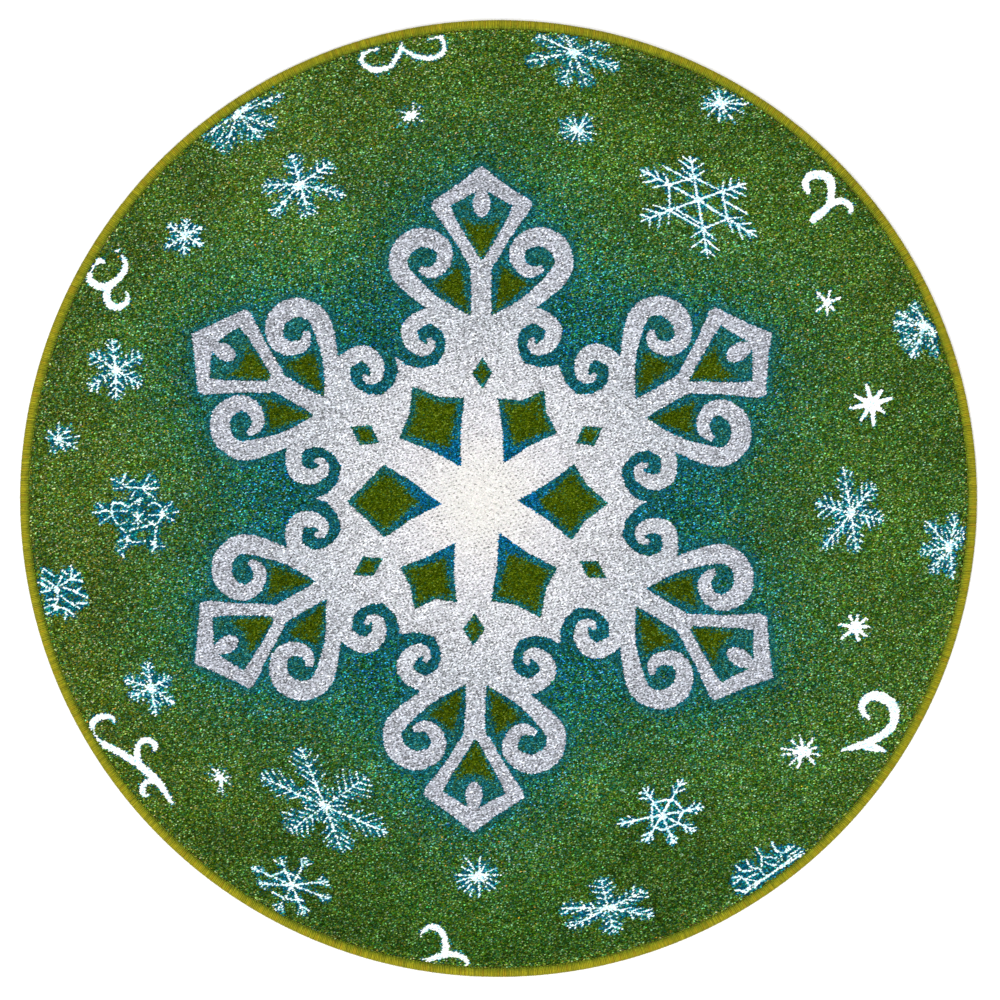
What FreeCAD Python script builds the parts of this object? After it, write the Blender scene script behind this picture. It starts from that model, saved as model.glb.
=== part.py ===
import FreeCAD, Part
import math
import os

os.makedirs("parts", exist_ok=True)

# ----------------------------------------------------------------------------
# Round cut-pile mat laid under a tree: woven ground cloth, latex back coat,
# cut pile in six yarn colours, and a serged (yarn-whipped) rim.
# Frame: origin at the centre of the underside, +Z up out of the pile, +Y to
# the top of the pattern.
# ----------------------------------------------------------------------------

# ---- driving dimensions, mm ------------------------------------------------
MAT_R = 610.0            # outer radius over the serging (1.22 m across)
COAT_T = 0.8             # latex back coat
CLOTH_TOP = 2.2          # top of the woven ground cloth
PILE_TOP = 9.0           # tips of the cut pile
RIM_PILE_TOP = 6.6       # pile rows squeezed down inside the serging
PILE_R = 597.5           # where the free-standing pile ends
CLOTH_R = 606.3          # edge of the cloth inside the serging
COAT_R = 600.2           # edge of the latex, under the serging's lower lip
SERGE_TOP = 8.6          # top of the whipped rim
STITCH_IN, STITCH_OUT = 597.6, 598.9   # lock stitch beside the serging's lip
STITCH_TOP = 8.1
STEP = 1.274             # one step of the pattern draft, mm
DRAFT_C = (498.5, 498.5)  # middle of the mat on the draft (X right, Y down)
MEDAL_C = (482.0, 499.0)  # middle of the big snowflake on the draft
LINE_W = 1.7             # width of a plain woven snowflake line, draft steps
MAIN_W, TIP_W = 2.3, 1.5   # snowflake arm at the hub and at its tip, draft steps
SIDE_W, BARB_W = 1.7, 1.2  # side branch at its root and at its tip, draft steps
OUTLINE_W = 6.5          # blue outline around the big snowflake, draft steps
IVORY_R = 62.0           # ivory centre of the big snowflake, draft steps


def mm(p):
    return FreeCAD.Vector((p[0] - DRAFT_C[0]) * STEP, (DRAFT_C[1] - p[1]) * STEP, 0)


def face(pts):
    """Closed polygon face from draft points, always facing +Z."""
    v = [mm(p) for p in pts]
    if sum(v[i].x * v[(i + 1) % len(v)].y - v[(i + 1) % len(v)].x * v[i].y for i in range(len(v))) < 0:
        v.reverse()
    v.append(v[0])
    return Part.Face(Part.makePolygon(v))


def outline_faces(shape, min_hole=0.0, min_face=0.0):
    """Merge touching coplanar faces into whole faces from their free edges."""
    seen = {}
    for f in shape.Faces:
        for e in f.Edges:
            bucket = seen.setdefault(e.hashCode(), [])
            for item in bucket:
                if item[0].isSame(e):
                    item[1] += 1
                    break
            else:
                bucket.append([e, 1])
    free = [i[0] for b in seen.values() for i in b if i[1] == 1]
    wires = [Part.Wire(g) for g in Part.sortEdges(free)]
    keep = []
    for w in wires:
        if min_hole and Part.Face(w).Area < min_hole:
            continue
        keep.append(w)
    made = Part.makeFace(keep, "Part::FaceMakerBullseye")
    out = []
    for f in made.Faces:
        if f.Area < min_face:
            continue
        if f.normalAt(0, 0).z < 0:
            f.reverse()
        g = f.removeSplitter()
        out.append(g.Faces[0] if len(g.Faces) == 1 and g.isValid() else f)
    return out[0] if len(out) == 1 else Part.makeCompound(out)


def fuse(faces, min_hole=0.0):
    if len(faces) == 1:
        return faces[0]
    return outline_faces(faces[0].fuse(faces[1:]), min_hole)


def bar(p, q, w, cap=0.5):
    dx, dy = q[0] - p[0], q[1] - p[1]
    n = math.hypot(dx, dy)
    ux, uy = dx / n, dy / n
    h, e = w / 2.0, w * cap * 0.5
    a = (p[0] - ux * e, p[1] - uy * e)
    b = (q[0] + ux * e, q[1] + uy * e)
    return face([(a[0] - uy * h, a[1] + ux * h), (b[0] - uy * h, b[1] + ux * h),
                 (b[0] + uy * h, b[1] - ux * h), (a[0] + uy * h, a[1] - ux * h)])


def spike(p, q, w0, w1):
    """A tapering line from p to q."""
    dx, dy = q[0] - p[0], q[1] - p[1]
    n = math.hypot(dx, dy)
    nx, ny = -dy / n / 2.0, dx / n / 2.0
    return face([(p[0] + nx * w0, p[1] + ny * w0), (q[0] + nx * w1, q[1] + ny * w1),
                 (q[0] - nx * w1, q[1] - ny * w1), (p[0] - nx * w0, p[1] - ny * w0)])


def blob(c, r, n=8, turn=0.0):
    return face([(c[0] + r * math.cos(turn + 2 * math.pi * i / n),
                  c[1] + r * math.sin(turn + 2 * math.pi * i / n)) for i in range(n)])


def smooth(pts, k):
    """Catmull-Rom subdivision of (x, y, width) points."""
    out = []
    n = len(pts)
    for i in range(n - 1):
        p0 = pts[max(i - 1, 0)]
        p1, p2 = pts[i], pts[i + 1]
        p3 = pts[min(i + 2, n - 1)]
        for j in range(k):
            t = j / float(k)
            out.append(tuple(0.5 * ((2 * p1[m]) + (-p0[m] + p2[m]) * t
                                    + (2 * p0[m] - 5 * p1[m] + 4 * p2[m] - p3[m]) * t * t
                                    + (-p0[m] + 3 * p1[m] - 3 * p2[m] + p3[m]) * t ** 3)
                             for m in range(3)))
    out.append(tuple(pts[-1]))
    return out


def ribbon_pts(pts, k=3, grow=0.0):
    """Outline of a curved limb whose width varies along its line."""
    s = smooth(pts, k)
    if grow:
        a, b = s[0], s[1]
        n = math.hypot(b[0] - a[0], b[1] - a[1])
        s.insert(0, (a[0] - (b[0] - a[0]) / n * grow, a[1] - (b[1] - a[1]) / n * grow, a[2]))
        a, b = s[-1], s[-2]
        n = math.hypot(b[0] - a[0], b[1] - a[1])
        s.append((a[0] - (b[0] - a[0]) / n * grow, a[1] - (b[1] - a[1]) / n * grow, a[2]))
    left, right = [], []
    for i, p in enumerate(s):
        a = s[max(i - 1, 0)]
        b = s[min(i + 1, len(s) - 1)]
        dx, dy = b[0] - a[0], b[1] - a[1]
        n = math.hypot(dx, dy)
        h = max(p[2], 0.6) / 2.0 + grow
        left.append((p[0] - dy / n * h, p[1] + dx / n * h))
        right.append((p[0] + dy / n * h, p[1] - dx / n * h))
    return left + right[::-1]


def ribbon(pts, k=3, grow=0.0):
    """A ribbon cut into short convex pieces and fused, so a curl is safe."""
    s = ribbon_pts(pts, k, grow)
    n = len(s) // 2
    left, right = s[:n], s[n:][::-1]
    pieces = []
    step = 1
    for i in range(0, n - 1, step):
        quad = [left[i], left[i + 1], right[i + 1], right[i]]
        try:
            f = face(quad)
            if f.isValid() and f.Area > 1e-3:
                pieces.append(f)
            else:
                raise ValueError
        except Exception:
            pass
    return pieces


def offset_poly(pts, d):
    """Mitre offset of a simple polygon (outward for d > 0)."""
    area = sum(pts[i][0] * pts[(i + 1) % len(pts)][1] - pts[(i + 1) % len(pts)][0] * pts[i][1]
               for i in range(len(pts)))
    sgn = 1.0 if area > 0 else -1.0
    out = []
    n = len(pts)
    for i in range(n):
        a, b, c = pts[i - 1], pts[i], pts[(i + 1) % n]
        d1 = (b[0] - a[0], b[1] - a[1])
        d2 = (c[0] - b[0], c[1] - b[1])
        l1, l2 = math.hypot(*d1), math.hypot(*d2)
        n1 = (d1[1] / l1 * sgn, -d1[0] / l1 * sgn)
        n2 = (d2[1] / l2 * sgn, -d2[0] / l2 * sgn)
        m = (n1[0] + n2[0], n1[1] + n2[1])
        k = m[0] * m[0] + m[1] * m[1]
        s = min(2.0 * d / k, 1.9 * d / math.sqrt(k)) if k > 1e-6 else 0.0
        if d < 0:
            s = max(2.0 * d / k, 1.9 * d / math.sqrt(k)) if k > 1e-6 else 0.0
        out.append((b[0] + m[0] * s, b[1] + m[1] * s))
    return out


def extrude(f, z0, z1):
    s = f.copy()
    s.translate(FreeCAD.Vector(0, 0, z0))
    return s.extrude(FreeCAD.Vector(0, 0, z1 - z0))


def disc(r):
    return Part.Face(Part.Wire(Part.makeCircle(r)))


def save(shape, node):
    assert shape.isValid(), node
    shape.exportStep("parts/%s.step" % node)


def solids_of(shape, least=0.0):
    so = [x for x in shape.Solids if x.Volume > least]
    return Part.makeCompound(so) if len(so) > 1 else so[0]


# ----------------------------------------------------------------------------
# Big snowflake. Each arm is drawn in its own (u, v) frame: u out along the
# arm from the medallion's middle, v across it, in draft steps.
# ----------------------------------------------------------------------------
# direction in degrees, stretch along u and across v, shift along u and v
ARMS = [(90.3, 1.0, 1.006, -0.6, 0.2), (29.9, 1.003, 1.018, -1.65, 0.5), (-31.6, 1.035, 0.986, -3.05, 0.0),
        (-91.7, 0.983, 0.997, 5.15, 0.5), (209.9, 0.999, 0.983, 1.4, 1.05), (150.3, 1.021, 0.954, -0.75, 0.0)]
# the arrow heads sit a little in or out of true: shift along u, across v, and of the outer tip along u
HEADS = [(0, 0.8, 0), (0.8, 0, 0), (-0.8, 0, 0), (0, -1.3, 0), (-2.6, 0, -1.6), (-3.4, 0, -2.8)]

HEAD_OUT = [(334, 0), (317, 21), (297.5, 50), (291, 49), (262, 28.5), (236, 13.0),
            (236, -13.0), (262, -28.5), (291, -49), (297.5, -50), (317, -21)]
HEAD_HOLE = [(308.5, 6), (300, 20), (294, 31.5), (280, 25.5), (258, 12.5), (237, 0),
             (258, -12.5), (280, -25.5), (294, -31.5), (300, -20), (308.5, -6)]
DROP = [(312, 0), (309, 4.5), (302, 7.6), (295, 8.6), (288, 7.0), (283, 2.6), (283, -2.6),
        (288, -7.0), (295, -8.6), (302, -7.6), (309, -4.5)]
HEAD_INSET = [(280, 18.5), (262, 11.3), (241.5, 0), (262, -11.3), (280, -18.5), (275, -7), (274.5, 0), (275, 7)]
STEM = [(240, 12.5), (228, 10.0), (200, 9.6), (176, 10.5), (150, 12), (150, -12),
        (176, -10.5), (200, -9.6), (228, -10.0), (240, -12.5)]
BIG_SCROLL = [(172, 12, 22), (184, 30, 18), (198, 49.5, 15.5), (213, 67, 18), (226, 79, 19.5),
              (238, 82.5, 18), (254, 76.5, 19.5), (263, 58, 19), (255, 39.5, 16.5), (241, 36, 14.7),
              (229.5, 44, 12.6), (227.8, 53, 10.5), (231.5, 61.5, 5.5)]
SMALL_SCROLL = [(178, 34, 20), (184.5, 51.5, 16), (175.5, 68.5, 16), (165.5, 71.8, 16),
                (155, 66.5, 15), (149.8, 57.5, 12.0)]
# rounded hook that ends the small scroll: (u, v, radius)
SMALL_HOOK = [(149.8, 57.5, 6.0), (150.4, 54.0, 5.2), (152.0, 51.2, 4.4), (154.6, 49.6, 3.8), (157.4, 49.6, 3.2), (159.8, 51.0, 2.6)]
SCROLL_INSET = [(215, 46), (221, 37), (233, 21.5), (210, 16.8), (188, 14.0), (202, 31)]
BODY_HALF = [(176, 10.5), (186, 30), (187, 47), (178, 49), (171.5, 40), (160, 35.5), (149, 36.3),
             (136.2, 42.7), (131.5, 58.7), (134, 74)]
# outer corners of the body between two arms: direction in degrees, distance
CORNERS = [(60.9, 154.0), (-0.95, 163.5), (-61.7, 165.0), (-122.0, 158.5), (179.8, 166.5), (121.4, 166.5)]
# the six kites, inner tip first, and the six diamonds, outer tip first, as drawn on the draft
KITES_AT = [
    [(503.3, 464.0), (502.6, 431.0), (497.3, 398.3), (523.3, 400.0), (544.3, 389.0), (546.7, 411.7), (557.7, 433.0), (528.3, 446.7)],
    [(517.1, 500.2), (545.4, 518.7), (571.7, 540.7), (586.4, 520.1), (609.0, 503.3), (587.6, 485.1), (574.3, 463.5), (546.6, 483.7)],
    [(498.4, 532.2), (496.6, 566.8), (490.7, 601.1), (515.6, 605.1), (541.0, 618.1), (546.0, 590.0), (557.9, 567.9), (527.1, 551.7)],
    [(455.3, 542.3), (454.0, 573.3), (457.3, 602.3), (436.0, 599.0), (414.3, 610.0), (410.0, 586.7), (400.0, 567.3), (428.3, 556.3)],
    [(441.7, 504.0), (412.0, 519.0), (384.7, 537.7), (365.0, 518.5), (346.3, 501.5), (367.0, 481.5), (383.7, 464.0), (411.0, 480.5)],
    [(461.4, 467.0), (460.9, 432.4), (464.4, 397.7), (438.9, 396.4), (412.2, 386.2), (409.0, 414.7), (398.5, 437.9), (431.0, 450.7)],
]
KITE_SHRINK = (0.55, 0.68, 0.77, 0.80, 0.80, 0.80, 0.77, 0.68)
DIAMONDS_AT = [
    [(482.4, 356.1), (492.7, 373.1), (482.2, 389.0), (471.8, 373.0)],
    [(602.5, 427.8), (594.4, 446.1), (575.4, 443.4), (582.6, 425.6)],
    [(607.0, 578.3), (587.3, 577.7), (579.1, 560.7), (597.9, 560.7)],
    [(473.1, 646.3), (462.6, 628.5), (475.0, 612.9), (485.5, 629.8)],
    [(352.6, 575.0), (362.9, 556.4), (383.2, 558.3), (373.8, 576.4)],
    [(350.2, 426.4), (371.3, 424.9), (379.8, 443.3), (359.6, 445.3)],
]
DIAMOND_SHRINK = 0.62


def arm_frame(k):
    a, su, sv, du, dv = ARMS[k]
    c, n = math.cos(math.radians(a)), math.sin(math.radians(a))

    def f(u, v):
        u, v = u * su + du, v * sv + dv
        return (MEDAL_C[0] + u * c + v * n, MEDAL_C[1] - u * n + v * c)
    return f


def shrink(pts, by):
    """Points drawn toward the middle of their polygon, each by its own share."""
    cx = sum(p[0] for p in pts) / len(pts)
    cy = sum(p[1] for p in pts) / len(pts)
    return [(cx + (p[0] - cx) * b, cy + (p[1] - cy) * b) for p, b in zip(pts, by)]


def put(f, pts):
    return [f(p[0], p[1]) + tuple(p[2:]) for p in pts]


silver, fat, olive_head, olive_scroll, drops, holes = [], [], [], [], [], []
body = []
for k in range(6):
    f = arm_frame(k)
    body += put(f, [(u, -v) for u, v in BODY_HALF[::-1]])
    body += put(f, BODY_HALF)
    ca, cr = math.radians(CORNERS[k][0]), CORNERS[k][1]
    body.append((MEDAL_C[0] + cr * math.cos(ca), MEDAL_C[1] - cr * math.sin(ca)))
silver.append(face(body))
fat.append(face(offset_poly(body, OUTLINE_W)))
for k in range(6):
    f = arm_frame(k)
    hu, hv, ht = HEADS[k]

    def at_head(pts):
        return put(f, [(u + hu + (ht if u > 300 and abs(v) < 10 else 0), v + hv) for u, v in pts])
    head = at_head(HEAD_OUT)
    silver.append(face(head).cut(face(at_head(HEAD_HOLE))))
    fat.append(face(offset_poly(head, OUTLINE_W)))
    silver.append(face(at_head(DROP)))
    silver.append(face(put(f, STEM)))
    fat.append(face(offset_poly(put(f, STEM), OUTLINE_W)))
    for m in (1, -1):
        big = [f(u, m * v) + (w,) for u, v, w in BIG_SCROLL]
        small = [f(u, m * v) + (w,) for u, v, w in SMALL_SCROLL]
        silver += ribbon(big)
        silver += ribbon(small)
        hook = [f(u, m * v) + (r,) for u, v, r in SMALL_HOOK]
        silver += [blob(h, h[2], 12) for h in hook]
        fat += [blob(h, h[2] + OUTLINE_W, 12) for h in hook]
        fat += ribbon(big, 2, OUTLINE_W)
        fat += ribbon(small, 2, OUTLINE_W)
        olive_scroll.append(face([f(u, m * v) for u, v in SCROLL_INSET]))
        # the triangle between stem and scroll is outline-coloured all over
        fat.append(face([f(u, m * v) for u, v in [(262, 26), (238, 34), (218, 50), (196, 40), (174, 14), (236, 12)]]))
    olive_head.append(face(at_head(HEAD_INSET)))
kites = [face(p) for p in KITES_AT]
kite_in = [face(shrink(p, KITE_SHRINK)) for p in KITES_AT]
diamonds = [face(p) for p in DIAMONDS_AT]
diamond_in = [face(shrink(p, [DIAMOND_SHRINK] * 4)) for p in DIAMONDS_AT]

SILVER = fuse(silver, 12.0)
FAT = fuse(fat, 150.0)
KITES = Part.makeCompound(kites)
DIAMONDS = Part.makeCompound(diamonds)
ivory_disc = blob(MEDAL_C, IVORY_R, 96)
ivory = ivory_disc.cut(KITES)
silver_pile = SILVER.cut(Part.makeCompound(kites + diamonds + [ivory_disc]))
kite_rim = KITES.cut(Part.makeCompound(kite_in))
diamond_rim = DIAMONDS.cut(Part.makeCompound(diamond_in))
MEDALLION = fuse([FAT, SILVER], 150.0)
outline = MEDALLION.cut(Part.makeCompound([SILVER] + olive_head + olive_scroll + kites + diamonds))

# ----------------------------------------------------------------------------
# Small snowflakes: hub, tips of the main arms going round, side branches as
# (place along the arm, length); a branch runs parallel to the next arm round.
# ----------------------------------------------------------------------------
FLAKES = [
    ("snowflake_01_top", (574, 52), 4.0, [(619, 68), (606, 40), (564, 33), (537, 35), (525, 62), (564, 84), (587, 87)], [(0.34, 0.28), (0.54, 0.36), (0.74, 0.30), (0.88, 0.14)], []),
    ("snowflake_02_top_right", (720, 103), 3.8, [(751, 104), (747, 114), (735, 123), (726, 120), (719, 123), (707, 116), (701, 109), (701, 103), (703, 97), (710, 88), (718, 87), (726, 91), (740, 91), (751, 97)], [], []),
    ("snowflake_03_top", (578, 130), 2.8, [(587, 113), (593, 117), (595, 125), (596, 134), (593, 141), (586, 142), (580, 145), (571, 142), (563, 139), (559, 133), (560, 127), (558, 120), (566, 116), (573, 112)], [], []),
    ("snowflake_04_top", (412, 115), 3.2, [(413.5, 102), (421, 105.5), (420, 113), (423.5, 121.5), (415, 125), (405.5, 127), (398, 124.5), (400, 118), (397, 110.5), (403.5, 107)], [], []),
    ("snowflake_05_top_left", (237, 114), 3.6, [(275, 126), (284, 93), (250, 99), (203, 137), (223, 156), (262, 140)], [(0.28, 0.24), (0.46, 0.34), (0.64, 0.32), (0.82, 0.18)], [[(252, 129), (264, 132)], [(230, 124), (212, 148)], [(240, 128), (242, 144)]]),
    ("snowflake_06_upper_left", (300, 184), 2.6, [(345.5, 195.5), (332, 161.5), (291, 154), (262, 185), (272, 216), (309, 216)], [(0.34, 0.28), (0.54, 0.36), (0.74, 0.30), (0.88, 0.14)], []),
    ("snowflake_07_upper_left", (184.5, 235.5), 4.0, [(203, 226), (187, 218), (167, 223), (165, 248), (184, 257), (203, 246)], [(0.46, 0.36), (0.76, 0.22)], []),
    ("snowflake_08_upper_right_star", (698, 200), 3.4, [(757, 237), (746, 183), (690, 155), (640, 169), (641, 221), (708, 258)], [(0.50, 0.26), (0.66, 0.28), (0.84, 0.16)],
     [[(669, 184.5), (694, 177.5), (722, 191.5), (727.5, 218.5), (703, 229), (669.5, 210.5), (669, 184.5)],
      [(663, 165.5), (692, 181.5)], [(722, 199.5), (747, 213.5)], [(673, 207.5), (705, 226)]]),
    ("snowflake_09_right", (827, 303), 2.8, [(841.5, 297), (830, 290), (817, 292), (816, 311), (827, 316), (835, 311)], [], [[(817, 292), (818, 300)]]),
    ("snowflake_10_right_edge", (926, 326), 3.6, [(936, 331), (914, 301), (896, 312), (894, 323), (903, 348), (911, 358), (938, 356)], [(0.40, 0.34), (0.62, 0.34), (0.82, 0.18)], [[(895, 330), (908, 334)], [(899, 342), (912, 334)], [(911, 344), (922, 343)]]),
    ("snowflake_12_left", (116, 370), 3.6, [(142, 385), (143, 354), (112, 338), (90, 353), (87, 389), (116, 400)], [(0.34, 0.34), (0.58, 0.38), (0.80, 0.22)], []),
    ("snowflake_13_left_edge", (58, 439), 2.6, [(79.5, 436), (71.5, 423), (59.5, 420.5), (47.5, 430), (44, 438), (49.5, 452), (54, 455), (66, 452), (78.5, 449.5)], [], [[(64, 433), (73, 430)], [(67, 444), (78, 442)]]),
    ("snowflake_15_right", (851, 513), 2.6, [(884, 520), (876, 484), (843, 467), (815, 503), (822, 549), (857, 553)], [(0.26, 0.28), (0.44, 0.38), (0.62, 0.34), (0.82, 0.18)], []),
    ("snowflake_16_right_edge", (950, 547), 3.0, [(966, 532), (956, 512), (926, 521), (920, 552), (930, 573), (953, 579)], [(0.34, 0.36), (0.58, 0.36), (0.80, 0.20)], []),
    ("snowflake_19_lower_left", (151, 687), 3.4, [(175, 704), (172, 677), (147, 660), (124, 679), (130, 698), (156, 716)], [(0.36, 0.36), (0.62, 0.34), (0.82, 0.18)], []),
    ("snowflake_20_lower_left", (221, 778), 2.6, [(232.5, 776.5), (225, 769.5), (217, 769), (210.5, 766), (206, 772.5), (210.5, 781), (218, 792.5), (223, 796), (232, 785)], [], []),
    ("snowflake_21_bottom_left_great", (325, 806), 3.6, [(388, 833), (368, 776), (300, 746), (259, 776), (288, 832), (342, 852)], [(0.22, 0.20), (0.36, 0.34), (0.50, 0.38), (0.64, 0.32), (0.78, 0.22), (0.90, 0.10)], []),
    ("snowflake_22_bottom_left", (292, 885), 3.6, [(331, 899), (328, 881), (307, 858), (280, 857), (251, 867), (259, 884), (277, 912), (304, 915)], [(0.70, 0.28), (0.86, 0.14)],
     [[(273, 876), (284, 871), (302, 879)], [(272, 892), (287, 899), (304, 900)]]),
    ("snowflake_23_bottom", (478.5, 875), 3.8, [(490, 857), (498.5, 867.5), (501.5, 875), (500, 882), (496, 889.5), (489.5, 891), (479.5, 897), (469.5, 897), (464, 892.5), (458, 889), (456, 882), (451, 875), (461, 866), (463.5, 855), (480, 855)], [], []),
    ("snowflake_24_bottom", (608, 908), 3.0, [(654, 916), (646, 890), (601, 877), (559, 908), (569, 928), (614, 935)], [(0.28, 0.24), (0.46, 0.32), (0.65, 0.34), (0.84, 0.18)], []),
    ("snowflake_25_lower_right_star", (662, 815), 3.2, [(695, 831), (703, 807), (683, 779), (643, 788), (617, 824), (645, 843), (674, 845)], [(0.62, 0.26), (0.82, 0.18)],
     [[(652, 803), (664, 800), (674, 800), (683, 810), (677, 824), (663, 830), (652, 826), (652, 803)]]),
    ("snowflake_27_lower_right", (804, 752), 4.6, [(815, 764), (820, 755), (818, 747), (814, 737), (800, 735), (791, 740), (781, 748), (781, 755), (789, 765), (797, 768)], [(0.50, 0.16), (0.72, 0.14)], []),
]
# crystals drawn with a broader line, and plates without rays between their arms
BROAD = {"snowflake_04_top": 1.5, "snowflake_09_right": 1.6, "snowflake_20_lower_left": 1.5, "snowflake_27_lower_right": 1.35}
OPEN = ("snowflake_08_upper_right_star", "snowflake_22_bottom_left", "snowflake_25_lower_right_star")
# solid stars with tapered rays: hub, hub radius, ray half-width, ray tips
STARS = [
    ("snowflake_11_right_plain_star", (872, 404), 8.0, 3.2, [(866, 384), (882, 389), (892, 398), (885, 413), (874, 426), (860, 421), (850, 408), (854, 395)]),
    ("snowflake_18_right_plain_star", (855, 627.5), 5.6, 2.3, [(849, 614), (858, 614), (867, 618), (870, 626), (867, 637), (859, 642), (840, 639), (838, 624)]),
]
# plate-type crystals drawn line by line
DRAWN = [
    ("snowflake_14_left_plate", 1.8, [
        [(92, 513), (106, 511), (127, 511)], [(97, 503), (106, 510)], [(99, 524), (112, 515)], [(111, 509), (113, 503), (122, 503), (128, 507), (134, 503), (140, 498)],
        [(111, 478), (124, 485), (134, 479)], [(113, 489), (124, 487), (142, 488)], [(126, 474), (122, 482)], [(142, 488), (151, 473)],
        [(143, 488), (158, 480)], [(144, 489), (158, 488)], [(144, 490), (156, 499)], [(131, 499), (135, 490)], [(142, 498), (138, 505)],
        [(148, 505), (155, 502), (161, 507)], [(148, 515), (162, 515)], [(160, 512), (166, 506)], [(164, 512), (172, 502)], [(165, 514), (180, 511)], [(165, 516), (175, 521)],
        [(145, 519), (154, 525), (159, 521), (163, 516)], [(113, 518), (118, 525), (128, 521)], [(120, 527), (126, 533)],
        [(129, 536), (131, 529), (147, 526), (153, 521)], [(117, 542), (128, 538), (134, 543)], [(117, 551), (127, 546)], [(133, 542), (145, 541)],
        [(150, 540), (155, 546), (166, 546)], [(156, 545), (155, 533), (157, 526)], [(151, 552), (155, 547)], [(124, 558), (122, 553)], [(128, 536), (126, 546)],
        [(131, 512), (143, 523)], [(144, 511), (133, 524)], [(137, 509), (138, 526)]], [((137.5, 517), 2.4), ((111.5, 512), 2.4), ((162.5, 514), 3.6), ((128, 540), 2.6), ((153.5, 543), 3.0), ((144, 488), 2.4)]),
    ("snowflake_17_left_edge_plate", 1.8, [
        [(57, 588), (58, 598), (55, 610)], [(54, 576), (43, 568), (42, 572)], [(57, 588), (48, 588), (38, 581)], [(50, 590), (41, 592)], [(42, 578), (52, 584), (57, 588)],
        [(59, 587), (70, 579), (80, 573)], [(70, 579), (82, 581)], [(71, 578), (71, 565)], [(63, 587), (76, 592), (87, 597)], [(61, 596), (71, 603), (80, 608)],
        [(76, 603), (87, 603)], [(57, 599), (46, 600)], [(56, 604), (45, 607)], [(55, 610), (45, 615)], [(59, 607), (68, 609), (74, 616)], [(67, 610), (65, 619)],
        [(57, 586), (61, 577)], [(67, 574), (62, 570)], [(76, 592), (81, 587)]], [((57, 590), 3.2), ((56, 608), 3.0)]),
    ("snowflake_26_lower_right_edge", 1.8, [
        [(742, 892), (752, 885), (763, 878), (775, 871), (786, 862), (802, 851)], [(744, 894), (765, 878), (788, 863), (803, 853)], [(735, 890), (745, 891)], [(733, 884), (741, 878), (757, 881)],
        [(732, 878), (742, 876)], [(735, 865), (742, 871), (753, 870)], [(745, 859), (752, 868), (762, 868), (762, 857)], [(756, 847), (761, 856), (776, 858)],
        [(764, 862), (775, 866), (779, 859)], [(772, 842), (776, 851), (784, 853), (789, 846)], [(784, 853), (794, 846)], [(787, 857), (800, 848)],
        [(757, 873), (748, 877)], [(764, 875), (759, 868)], [(750, 885), (745, 880)], [(757, 880), (755, 888)], [(782, 861), (781, 854)]], []),
]
# solid scrolls: limbs with (x, y, width)
SCROLLS = [
    ("scroll_top", [
        [(380, 50, 4), (372, 49, 6), (364.5, 52.5, 7), (361.5, 60, 7), (366.5, 66.5, 7), (378, 70, 8), (390, 66, 7), (397, 57, 6.5), (401, 48, 6), (402, 40, 2.5)],
        [(401, 46, 5), (408, 52.5, 6), (417, 56.5, 7), (430, 58, 7), (440.5, 54.5, 7), (444.5, 47, 6.5), (442, 38, 6), (439.5, 33, 2.5)],
        [(442, 38, 4), (434, 37.5, 4), (426, 41.5, 2.5)]]),
    ("scroll_upper_left", [
        [(105, 261.5, 4), (98, 261, 6), (91.5, 265.5, 7), (88.5, 274, 7), (92, 282.5, 7.5), (100, 286.5, 8), (108, 286, 8), (115, 281.5, 7), (121, 275.5, 6.5), (125, 268, 6), (124.5, 260, 5), (121, 254.5, 2)],
        [(112, 283, 6), (107.5, 291, 7), (107, 300, 7.5), (112, 306, 7.5), (119, 307, 7), (125.5, 303.5, 6), (128, 297, 4.5), (126, 291, 2)]]),
    ("scroll_upper_right", [
        [(809, 194, 4.5), (806, 187, 6), (806, 181, 7), (811, 175.5, 8), (820, 174.5, 8.5), (828, 178, 9), (831.5, 186, 7.5), (831, 196, 7), (829, 205, 7.5), (823, 211.5, 7.5), (816, 217, 8), (811.5, 222, 4)],
        [(828, 206, 6), (837, 201.5, 6.5), (845, 201.5, 6.5), (851, 207, 6), (849.5, 214, 2.5)]]),
    ("scroll_lower_right_hook", [
        [(870, 719, 2.5), (864, 713.5, 5.5), (862, 706, 7), (866.5, 698.5, 8.5), (876, 695.5, 9.5), (887, 699.5, 10), (894, 709, 10), (894.5, 719, 8.5), (889.5, 729, 8), (880, 736.5, 7.5), (869, 742, 8), (856, 746.5, 6.5), (841, 750, 1.5)],
        [(862, 745.5, 6), (871, 747, 8), (879, 748.5, 6), (886, 751.5, 2)]]),
    ("scroll_lower_left_branched", [
        [(115, 722.5, 3), (112, 717.5, 4.5), (104, 716, 6), (95.5, 719, 7), (91, 727, 7), (92, 735, 7), (98, 741.5, 7), (110, 747.5, 7), (124, 755, 7.5), (137, 763, 8), (147, 771.5, 8), (156, 780, 8), (163.5, 789, 6.5), (169, 798, 5), (173, 805, 2)],
        [(140, 764, 6), (137, 753, 6), (138.5, 744.5, 6), (146, 740, 6.5), (153, 742.5, 6), (155.5, 747, 4.5), (153, 751, 2.5)],
        [(156, 780.5, 7), (149, 780.5, 6.5), (143.5, 785, 6), (142.5, 791.5, 6), (145.5, 795.5, 4.5), (149, 794.5, 2)]]),
    ("scroll_bottom", [
        [(421, 936.5, 1.5), (423.5, 931, 5), (430, 927, 6.5), (437, 928, 7), (443, 934, 7), (445.5, 942, 7), (445, 950, 7.5), (440.5, 955.5, 7.5), (431, 958.5, 6), (422, 960, 2)],
        [(440, 956, 7), (450, 954, 7), (459.5, 955, 6.5), (466, 960, 5.5), (467.5, 964.5, 3.5), (464, 968, 1.5)]]),
]
FIELD = blob(DRAFT_C, PILE_R / STEP, 480)        # all the free-standing pile
MOTIF_ROOM = blob(DRAFT_C, (PILE_R - 1.6) / STEP, 160)   # motifs stop short of the serging
motifs = {}


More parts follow.
